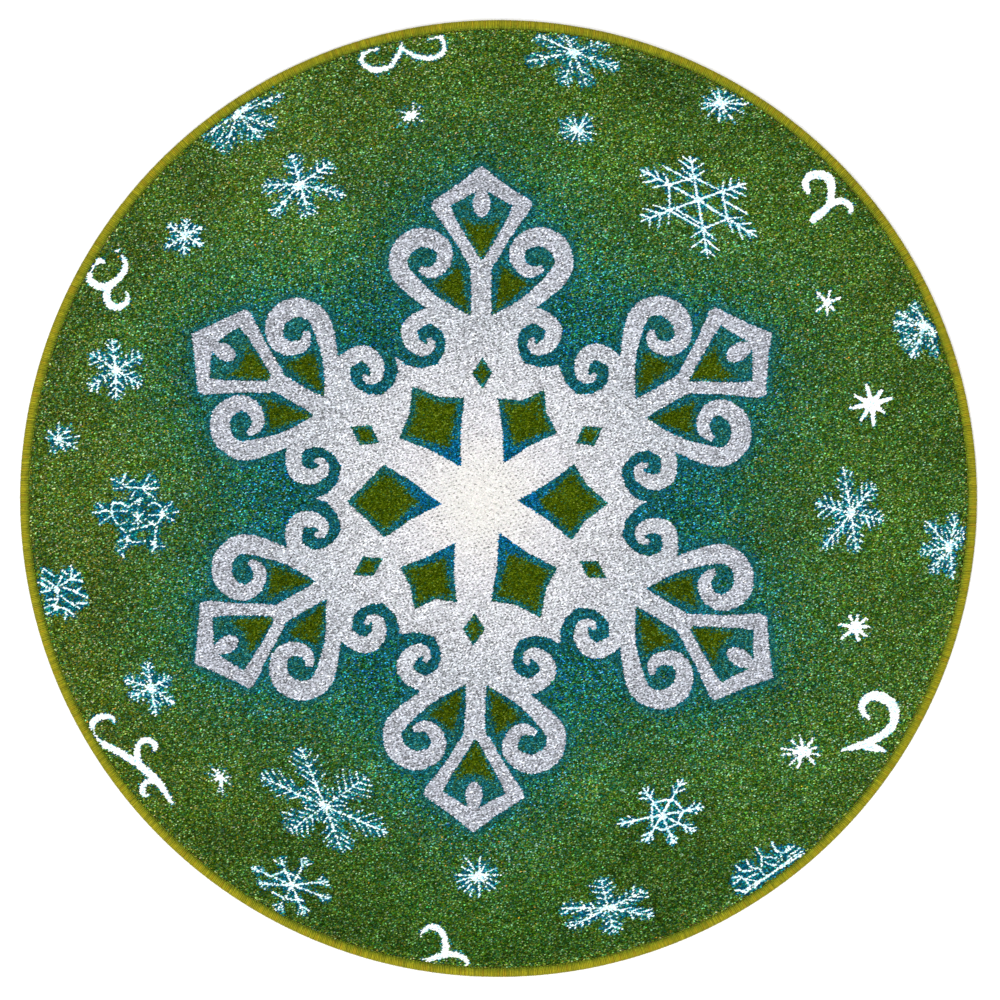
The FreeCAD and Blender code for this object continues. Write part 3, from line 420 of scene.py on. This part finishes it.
def yarn_material(name, attr="yarn", rough=(0.72, 0.96), grain=1500.0, bump=0.35, sheen=0.03, fleck=0.16, gloss=0.14):
    """Spun yarn: the tuft's own colour, finer fibre-scale variation, dull and slightly fuzzy."""
    m = bpy.data.materials.new(name)
    m.use_nodes = True
    nt, nd, ln = nodes_of(m)
    b = nd["Principled BSDF"]
    tc = nd.new("ShaderNodeTexCoord")
    at_ = nd.new("ShaderNodeAttribute")
    at_.attribute_name = attr
    fib = nd.new("ShaderNodeTexNoise")
    fib.inputs["Scale"].default_value = grain
    fib.inputs["Detail"].default_value = 3.0
    fib.inputs["Roughness"].default_value = 0.65
    ln.new(tc.outputs["Object"], fib.inputs["Vector"])
    ramp = nd.new("ShaderNodeMapRange")
    ramp.inputs["From Min"].default_value = 0.3
    ramp.inputs["From Max"].default_value = 0.7
    ramp.inputs["To Min"].default_value = 1 - fleck
    ramp.inputs["To Max"].default_value = 1 + fleck
    ln.new(fib.outputs["Fac"], ramp.inputs["Value"])
    mul = nd.new("ShaderNodeVectorMath")
    mul.operation = "SCALE"
    ln.new(at_.outputs["Color"], mul.inputs[0])
    ln.new(ramp.outputs["Result"], mul.inputs["Scale"])
    ln.new(mul.outputs["Vector"], b.inputs["Base Color"])
    rr = nd.new("ShaderNodeMapRange")
    rr.inputs["From Min"].default_value = 0.3
    rr.inputs["From Max"].default_value = 0.7
    rr.inputs["To Min"].default_value = rough[1]
    rr.inputs["To Max"].default_value = rough[0]
    ln.new(fib.outputs["Fac"], rr.inputs["Value"])
    ln.new(rr.outputs["Result"], b.inputs["Roughness"])
    fine = nd.new("ShaderNodeTexNoise")
    fine.inputs["Scale"].default_value = grain * 2.2
    fine.inputs["Detail"].default_value = 2.0
    ln.new(tc.outputs["Object"], fine.inputs["Vector"])
    bp = nd.new("ShaderNodeBump")
    bp.inputs["Strength"].default_value = bump
    bp.inputs["Distance"].default_value = 0.0003
    ln.new(fine.outputs["Fac"], bp.inputs["Height"])
    ln.new(bp.outputs["Normal"], b.inputs["Normal"])
    b.inputs["Specular IOR Level"].default_value = gloss
    b.inputs["Sheen Weight"].default_value = sheen
    b.inputs["Sheen Roughness"].default_value = 0.6
    return m


M_GREEN = yarn_material("yarn_green_heather", rough=(0.78, 0.98), sheen=0.0, gloss=0.04)
M_BLUE = yarn_material("yarn_blue_teal", rough=(0.74, 0.97), sheen=0.0, gloss=0.05)
M_OLIVE = yarn_material("yarn_olive", rough=(0.78, 0.98), sheen=0.0, gloss=0.02)
M_SILVER = yarn_material("yarn_silver", rough=(0.50, 0.82), grain=1300.0, sheen=0.10, fleck=0.07)
M_IVORY = yarn_material("yarn_ivory", rough=(0.62, 0.88), sheen=0.10, fleck=0.04)
M_WHITE = yarn_material("yarn_white", rough=(0.60, 0.86), sheen=0.10, fleck=0.05)
M_GOLD = yarn_material("yarn_serging_gold", rough=(0.50, 0.82), grain=1100.0, bump=0.5, fleck=0.14, sheen=0.0, gloss=0.06)
M_STITCH = yarn_material("yarn_lock_stitch", rough=(0.50, 0.80), grain=1100.0, bump=0.5, fleck=0.12, sheen=0.0, gloss=0.06)


def mesh_object(name, co, loops, starts, colours, uv, material, smooth=True, loop_uv=None):
    me = bpy.data.meshes.new(name)
    me.vertices.add(len(co))
    me.vertices.foreach_set("co", np.ascontiguousarray(co, np.float32).ravel())
    me.loops.add(len(loops))
    me.loops.foreach_set("vertex_index", np.ascontiguousarray(loops, np.int32))
    me.polygons.add(len(starts))
    me.polygons.foreach_set("loop_start", np.ascontiguousarray(starts, np.int32))
    me.update(calc_edges=True)
    me.polygons.foreach_set("use_smooth", np.full(len(starts), smooth, bool))
    if colours is not None:
        a = me.color_attributes.new("yarn", "FLOAT_COLOR", "POINT")
        a.data.foreach_set("color", np.hstack([colours, np.ones((len(co), 1))]).astype(np.float32).ravel())
    if uv is not None:
        loop_uv = uv[loops]
    layer = me.uv_layers.new(name="OFBake")
    layer.data.foreach_set("uv", np.ascontiguousarray(loop_uv, np.float32).ravel())
    me.materials.append(material)
    o = bpy.data.objects.new(name, me)
    scene.collection.objects.link(o)
    return o


# four crown and four root triangles: corners 0-3, tip 4, root 5
CROWN = [(k, (k + 1) % 4, 4) for k in range(4)]
ROOT = [((k + 1) % 4, k, 5) for k in range(4)]
TUFT_LOOPS = np.array(CROWN + ROOT).ravel()
BASE_Z = CLOTH_TOP - 0.00015
SX, SY = np.array([1, -1, -1, 1]), np.array([1, 1, -1, -1])
MOST = [0, ""]


def tufts(name, sel, slot, material, *cad):
    idx = np.flatnonzero(sel)
    n = idx.size
    pale = slot in ("pile_silver", "pile_ivory", "pile_white")
    # root is painted shade: each tuft's root colour is darkened, far more for dyed yarns than pale ones, as shade down
    # between the tufts
    girth, root, soft = (1.17, 0.78, 0.35) if pale else (1.0, 0.40, 1.0)
    if n == 0:
        return None
    if n * 8 > MOST[0]:
        MOST[:] = [n * 8, name]
    cs, sn = np.cos(SPIN[idx])[:, None], np.sin(SPIN[idx])[:, None]
    px = SX * girth * HALF_LONG[idx][:, None] * CORNER[idx]
    py = SY * girth * HALF_WIDE[idx][:, None] * CORNER[idx]
    x, y = X[idx][:, None], Y[idx][:, None]
    tip = TIP[idx]
    co = np.zeros((n, 6, 3))
    co[:, 0:4, 0] = x + LEAN[idx, 0:1] * 0.8 + px * cs - py * sn
    co[:, 0:4, 1] = y + LEAN[idx, 1:2] * 0.8 + px * sn + py * cs
    co[:, 0:4, 2] = (tip - 0.00062)[:, None] - (CORNER[idx] - 1) * 0.0008
    co[:, 4, 0] = X[idx] + LEAN[idx, 0]
    co[:, 4, 1] = Y[idx] + LEAN[idx, 1]
    co[:, 4, 2] = tip
    co[:, 5, 0] = X[idx]
    co[:, 5, 1] = Y[idx]
    co[:, 5, 2] = BASE_Z
    col = np.zeros((n, 6, 3))
    c = COL[idx]
    hue = HUE[idx] ** soft
    # painted light down each tuft: tip lighter, shoulder corners darker, root darkest as painted shade between tufts
    col[:, 0:4] = c[:, None] * hue[:, 0:4] * (1 - 0.08 * soft)
    col[:, 4] = c * hue[:, 4] * (1 + 0.06 * soft)
    col[:, 5] = c * root
    col = np.clip(col, 0.0, 0.95)
    # flat map seen from above, each tuft drawn in a little from its neighbours; root faces fold onto its edges
    lo = np.array([X[idx].min(), Y[idx].min()]) - 0.0015
    size = max(np.ptp(X[idx]), np.ptp(Y[idx])) + 0.003
    ctr = np.stack([X[idx], Y[idx]], 1)[:, None]
    flat = (ctr + 0.78 * (co[:, 0:5, :2] - ctr) - lo) / size
    uv = np.zeros((n, 24, 2))
    for k in range(4):
        k2 = (k + 1) % 4
        uv[:, 3 * k], uv[:, 3 * k + 1], uv[:, 3 * k + 2] = flat[:, k], flat[:, k2], flat[:, 4]
        uv[:, 12 + 3 * k], uv[:, 13 + 3 * k] = flat[:, k2], flat[:, k]
        uv[:, 14 + 3 * k] = 0.5 * (flat[:, k] + flat[:, k2])
    loops = (TUFT_LOOPS[None] + 6 * np.arange(n)[:, None]).ravel()
    starts = np.arange(n * 8) * 3
    o = mesh_object(name, co.reshape(-1, 3), loops, starts, col.reshape(-1, 3), None, material,
                    loop_uv=uv.reshape(-1, 2))
    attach(o, "root")
    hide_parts(*cad)
    return o


# ground pile: an inner and two outer rings of sectors
th = np.degrees(np.arctan2(Y, X)) % 360
ring = np.where(R < 0.20, 0, np.where(R < 0.44, 1, 2))
count = {0: 3, 1: 6, 2: 12}
for k, m in count.items():
    sec = (th / (360.0 / m)).astype(int) % m
    for q in range(m):
        tufts("ground_tufts_ring%d_%02d" % (k, q + 1), (LAB == 1) & (ring == k) & (sec == q),
                  "pile_green", M_GREEN, "ground_pile_green")
rs = (th / 90.0).astype(int) % 4
for q in range(4):
    tufts("rim_tufts_%d" % (q + 1), (LAB == RIM) & (rs == q), "pile_green", M_OLIVE, "rim_pile_under_serging")

mth = np.degrees(np.arctan2(Y - MEDAL[1], X - MEDAL[0])) % 360
msec = ((mth / 60.0).astype(int)) % 6
arms = ["right_upper", "top", "left_upper", "left_lower", "bottom", "right_lower"]
for q in range(6):
    tufts("medallion_silver_tufts_" + arms[q], (LAB == IDS["medallion_pile_silver"]) & (msec == q),
              "pile_silver", M_SILVER, "medallion_pile_silver")
    tufts("medallion_outline_tufts_" + arms[q], (LAB == IDS["medallion_outline_pile_blue"]) & (msec == q),
              "pile_blue", M_BLUE, "medallion_outline_pile_blue")
for n, slot, mat in (("medallion_centre_pile_ivory", "pile_ivory", M_IVORY),
                     ("medallion_kite_rim_pile_blue", "pile_blue", M_BLUE),
                     ("medallion_diamond_rim_pile_blue", "pile_blue", M_BLUE),
                     ("medallion_kite_pile_olive", "pile_olive", M_OLIVE),
                     ("medallion_diamond_pile_olive", "pile_olive", M_OLIVE),
                     ("medallion_head_inset_pile_olive", "pile_olive", M_OLIVE),
                     ("medallion_scroll_inset_pile_olive", "pile_olive", M_OLIVE)):
    tufts(n.replace("_pile_", "_tufts_"), LAB == IDS[n], slot, mat, n)
for n in PILE_NODES:
    if n.startswith(("snowflake_", "scroll_")):
        tufts(n + "_tufts", LAB == IDS[n], "pile_white", M_WHITE, n)

# ----------------------------------------------------------------------------
# Woven ground cloth and latex back coat
# ----------------------------------------------------------------------------


def weave_disc(name, radius, z0, z1, cells, relief_top, relief_low, pitch, colour_a, colour_b, material):
    """A round cloth as a closed mesh: over-and-under relief on both faces."""
    rings = cells
    segs = cells * 4
    rr = radius * (np.arange(1, rings + 1) / rings)
    tt = np.arange(segs) * (2 * math.pi / segs)
    px = np.concatenate([[0.0], (rr[:, None] * np.cos(tt)).ravel()])
    py = np.concatenate([[0.0], (rr[:, None] * np.sin(tt)).ravel()])
    w = np.sin(px / pitch * math.pi) * np.sin(py / pitch * math.pi)
    edge = np.clip((radius - np.hypot(px, py)) / 0.004, 0, 1)
    top = np.stack([px, py, z1 - relief_top * (0.5 - 0.5 * w) * edge], 1)
    low = np.stack([px, py, z0 + relief_low * (0.5 + 0.5 * w) * edge], 1)
    nv = len(px)
    co = np.vstack([top, low])
    col = np.where((w > 0)[:, None], np.array(colour_a)[None], np.array(colour_b)[None])
    col = np.vstack([col, col])
    a = 1 + np.arange(segs)
    b = 1 + (np.arange(segs) + 1) % segs
    fan_t = np.stack([np.zeros(segs, int), a, b], 1)
    fan_l = np.stack([np.full(segs, nv), nv + b, nv + a], 1)
    quads_t, quads_l = [], []
    for i in range(rings - 1):
        o0, o1 = i * segs, (i + 1) * segs
        quads_t.append(np.stack([a + o0, a + o1, b + o1, b + o0], 1))
        quads_l.append(np.stack([nv + a + o0, nv + b + o0, nv + b + o1, nv + a + o1], 1))
    o1 = (rings - 1) * segs
    rim = np.stack([a + o1, nv + a + o1, nv + b + o1, b + o1], 1)
    quads = np.vstack(quads_t + quads_l + [rim])
    loops = np.concatenate([fan_t.ravel(), fan_l.ravel(), quads.ravel()])
    starts = np.concatenate([np.arange(2 * segs) * 3, 6 * segs + np.arange(len(quads)) * 4])
    # both faces side by side on one map
    s = 0.24 / radius
    uv = np.vstack([np.stack([0.25 + px * s, 0.5 + py * s], 1), np.stack([0.75 + px * s, 0.5 + py * s], 1)])
    return mesh_object(name, co, loops, starts, col, uv, material)


M_CLOTH = yarn_material("jute_and_polyester_weave", rough=(0.80, 0.97), grain=900.0, bump=0.5, fleck=0.22)
cloth = weave_disc("woven_ground_cloth_sheet", CLOTH_R - 0.0002, CLOTH_LO + 0.00012, CLOTH_TOP, 96, 0.0003, 0.0001,
                   0.0126, lin((150, 142, 70)), lin((104, 104, 52)), M_CLOTH)
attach(cloth, "root")
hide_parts("woven_ground_cloth")

M_LATEX = yarn_material("latex_back_coat_finish", rough=(0.34, 0.62), grain=260.0, bump=0.6, sheen=0.0, fleck=0.10)
coat = weave_disc("latex_coat_sheet", COAT_R, 0.0, CLOTH_LO, 96, 0.0001, 0.00018,
                  0.0126, lin((206, 200, 182)), lin((192, 186, 168)), M_LATEX)
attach(coat, "root")
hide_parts("latex_back_coat")

# ----------------------------------------------------------------------------
# Serging: a filler ring, then one yarn wrap after another over it
# ----------------------------------------------------------------------------
# section of the wrapped rim, inner lip to under lip, (radius, height)
PATH = np.array([(0.59905, 0.0068), (0.59935, 0.0076), (0.6012, 0.0082), (0.6034, 0.00835), (0.6054, 0.0079),
                 (0.6074, 0.0068), (0.6089, 0.0053), (0.60945, 0.0040), (0.6090, 0.0026), (0.6076, 0.0012),
                 (0.6052, 0.00045), (0.6028, 0.00035), (0.6009, 0.00038)])
# the wrap yarn is greener where it dives into the pile; its lighter gold over the crest is a painted highlight, and the
# darker tones in the trough at the inner lip and down the outer and under side are painted shade
WRAP_TINT_AND_SHADE = np.array([(108, 130, 30), (114, 131, 26), (124, 130, 24), (140, 138, 24), (151, 146, 24), (147, 142, 24),
                      (142, 137, 27), (136, 131, 26), (130, 125, 25), (126, 121, 25), (124, 119, 25), (122, 117, 25),
                      (120, 115, 25)])
GOLDS = [(1.0, 1.0, 1.0), (1.12, 1.08, 1.1), (0.86, 0.90, 0.9), (1.10, 0.92, 0.9)]


def section_normals(p):
    d = np.gradient(p, axis=0)
    n = np.stack([-d[:, 1], d[:, 0]], 1)
    n /= np.linalg.norm(n, axis=1, keepdims=True)
    return n


# outward is away from the middle of the section
_mid = np.array([0.6040, 0.0044])
_n = section_normals(PATH)
_n *= np.sign(((PATH - _mid) * _n).sum(1))[:, None]

WRAPS = 1728
RIM_GAIN = 0.74
wr = np.random.default_rng(5)


def wraps(name, k0, k1):
    ks = np.arange(k0, k1)
    n = ks.size
    P = len(PATH)
    pitch = 2 * math.pi / WRAPS
    base = ks * pitch + wr.normal(0, pitch * 0.05, n)
    slant = pitch * 0.55 * (np.arange(P) / (P - 1) - 0.35)
    th_ = base[:, None] + slant[None] * (1 + wr.normal(0, 0.08, (n, 1)))
    half = 0.5 * pitch * MAT_R * 1.08
    lift = wr.normal(0, 0.00005, (n, 1))
    inset = 0.00028
    co = np.zeros((n, P, 6, 3))
    # cross-section of the yarn: (along the rim, out from the section)
    cs = [(-1.0, -0.00020), (-0.62, 0.00016), (0.0, 0.00034), (0.62, 0.00016), (1.0, -0.00020), (0.0, -0.00045)]
    for q, (a, o_) in enumerate(cs):
        w = half * (0.94 + 0.08 * np.sin(np.arange(P) * 1.3 + q))
        rr_ = PATH[None, :, 0] + _n[None, :, 0] * (o_ - inset + 0.28e-3 + lift)
        zz = PATH[None, :, 1] + _n[None, :, 1] * (o_ - inset + 0.28e-3 + lift)
        tt = th_ + a * w[None] / MAT_R
        co[:, :, q, 0] = rr_ * np.cos(tt)
        co[:, :, q, 1] = rr_ * np.sin(tt)
        co[:, :, q, 2] = np.maximum(zz, 0.00002)
    gold = np.array(GOLDS)[wr.choice(4, n, p=[0.46, 0.22, 0.22, 0.10])]
    gold = gold * np.exp(wr.normal(0, 0.08, (n, 1)))
    # painted shade across each wrap yarn: lightest on its top, darker at its sides and darkest on its underside, in the
    # grooves between wraps
    wrap_groove_shade = np.array([0.93, 0.99, 1.02, 0.99, 0.93, 0.85])
    mottle = np.exp(wr.normal(0, 1, (n, P)) * np.interp(np.arange(P), [0, 2, 4], [0.20, 0.17, 0.05]))[:, :, None, None]
    # col carries the painted highlight over the crest and the painted shade along the section and between the wraps
    col = mottle * gold[:, None, None] * (RIM_GAIN * lin(WRAP_TINT_AND_SHADE))[None, :, None, :] * wrap_groove_shade[None, None, :, None]
    loops, uvs = [], np.zeros((n, P, 6, 2))
    i = np.arange(P - 1)
    for q in range(6):
        q2 = (q + 1) % 6
        loops.append(np.stack([i * 6 + q, i * 6 + q2, (i + 1) * 6 + q2, (i + 1) * 6 + q], 1))
    one = np.vstack(loops + [np.array([[0, 0, 0, 0]])[:0]])
    quads = (one[None] + (P * 6) * np.arange(n)[:, None, None]).reshape(-1, 4)
    # unrolled map: round the rim against round the section, in bands
    bands = 8
    t = np.arange(n) / n
    band = np.minimum((t * bands).astype(int), bands - 1)
    inb = t * bands - band
    for q in range(6):
        uvs[:, :, q, 0] = (inb[:, None] + (q + 0.5) / 6 / (n / bands))[:, :]
        uvs[:, :, q, 1] = (band[:, None] + 0.04 + 0.92 * np.arange(P)[None] / (P - 1)) / bands
    o = mesh_object(name, co.reshape(-1, 3), quads.ravel(), np.arange(len(quads)) * 4,
                    np.clip(col, 0, 0.9).reshape(-1, 3), uvs.reshape(-1, 2), M_GOLD)
    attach(o, "root")
    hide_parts("edge_serging")
    return o


rim_pieces = [wraps("serging_wraps_%d" % (q + 1), q * WRAPS // 4, (q + 1) * WRAPS // 4) for q in range(4)]


def ring_solid(name, profile, segs, colour, material):
    P = len(profile)
    t = np.arange(segs) * 2 * math.pi / segs
    co = np.zeros((segs, P, 3))
    co[:, :, 0] = profile[None, :, 0] * np.cos(t)[:, None]
    co[:, :, 1] = profile[None, :, 0] * np.sin(t)[:, None]
    co[:, :, 2] = profile[None, :, 1]
    i, j = np.meshgrid(np.arange(segs), np.arange(P), indexing="ij")
    i2, j2 = (i + 1) % segs, (j + 1) % P
    q = np.stack([i * P + j, i2 * P + j, i2 * P + j2, i * P + j2], -1).reshape(-1, 4)
    col = np.tile(np.asarray(colour), (segs * P, 1))
    uv = np.stack(np.meshgrid(np.arange(segs) / segs, np.arange(P) / P, indexing="ij"), -1).reshape(-1, 2)
    return mesh_object(name, co.reshape(-1, 3), q.ravel(), np.arange(len(q)) * 4, col, uv, material)


core = ring_solid("serging_filler_cord", np.array([
    (0.5997, 0.0068), (0.6000, 0.0073), (0.6034, 0.0078), (0.6068, 0.0066), (0.6086, 0.0042), (0.6070, 0.0016),
    (0.6034, 0.0009), (0.6066, 0.0026), (0.6066, 0.0062), (0.6034, 0.0067)]), 720, lin((96, 96, 20)), M_GOLD)
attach(core, "root")
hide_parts("edge_serging")

# lock stitch: a row of short yarn floats pressed into the pile along the lip
STITCHES = 900
sr = np.random.default_rng(9)
t0 = np.arange(STITCHES) * 2 * math.pi / STITCHES
seg = 7
ss = np.linspace(-1, 1, seg)
rad = 0.00042 * np.sqrt(np.clip(1 - ss ** 2 * 0.9, 0.02, 1))
zc = 0.00752 + 0.00016 * (1 - ss ** 2)
m6 = np.arange(6) * math.pi / 3
co = np.zeros((STITCHES, seg, 6, 3))
long_ = 0.00185
wob = sr.normal(0, 0.00006, (STITCHES, 1))
for q in range(6):
    rr_ = 0.59825 + wob + (rad * np.cos(m6[q]))[None] + 0.00012 * ss[None]
    tt = t0[:, None] + (ss * long_ / 0.598)[None]
    co[:, :, q, 0] = rr_ * np.cos(tt)
    co[:, :, q, 1] = rr_ * np.sin(tt)
    co[:, :, q, 2] = zc[None] + (rad * np.sin(m6[q]))[None]
i = np.arange(seg - 1)
one = np.vstack([np.stack([i * 6 + q, (i + 1) * 6 + q, (i + 1) * 6 + (q + 1) % 6, i * 6 + (q + 1) % 6], 1)
                 for q in range(6)] + [np.array([[0, 1, 2, 3]]), np.array([[0, 3, 4, 5]]),
                                       np.array([[36, 39, 38, 37]]), np.array([[36, 41, 40, 39]])])
quads = (one[None] + seg * 6 * np.arange(STITCHES)[:, None, None]).reshape(-1, 4)
sc = lin((118, 132, 32))[None] * np.exp(sr.normal(0, 0.16, (STITCHES, 1)))
uv = np.zeros((STITCHES, seg, 6, 2))
uv[..., 0] = ((np.arange(STITCHES) % 30)[:, None, None] + 0.5 + 0.4 * ss[None, :, None]) / 30
uv[..., 1] = ((np.arange(STITCHES) // 30)[:, None, None] + 0.1 + 0.8 * np.arange(6)[None, None] / 6) / 30
stitch = mesh_object("serging_lock_stitch_floats", co.reshape(-1, 3), quads.ravel(), np.arange(len(quads)) * 4,
                     np.repeat(sc, seg * 6, axis=0), uv.reshape(-1, 2), M_STITCH)
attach(stitch, "root")
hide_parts("serging_lock_stitch")

# ----------------------------------------------------------------------------
# Floor, light, camera
# ----------------------------------------------------------------------------
bpy.ops.mesh.primitive_plane_add(size=12, location=(0, 0, -0.0004))
floor = bpy.context.object
floor.name = "studio_floor"
fm = bpy.data.materials.new("studio_floor_white")
fm.use_nodes = True
fb = fm.node_tree.nodes["Principled BSDF"]
fb.inputs["Base Color"].default_value = (0.93, 0.93, 0.93, 1)
fb.inputs["Roughness"].default_value = 0.9
fb.inputs["Specular IOR Level"].default_value = 0.0
floor.data.materials.append(fm)

world = bpy.data.worlds.new("studio")
scene.world = world
world.use_nodes = True
world.node_tree.nodes["Background"].inputs["Color"].default_value = (1.0, 1.0, 1.0, 1)
world.node_tree.nodes["Background"].inputs["Strength"].default_value = 1.36

key = bpy.data.lights.new("key", "SUN")
key.energy = 1.45
key.angle = math.radians(25)
ko = bpy.data.objects.new("key", key)
ko.rotation_euler = (math.radians(38), math.radians(-24), 0)
scene.collection.objects.link(ko)

cam = bpy.data.cameras.new("top")
cam.type = "ORTHO"
cam.ortho_scale = 1.274
cam.clip_end = 20
co_ = bpy.data.objects.new("top", cam)
co_.location = (0.0019, -0.0019, 2.0)
scene.collection.objects.link(co_)
scene.camera = co_

scene.view_settings.view_transform = "Standard"
scene.view_settings.look = "None"

print("most faces", MOST)
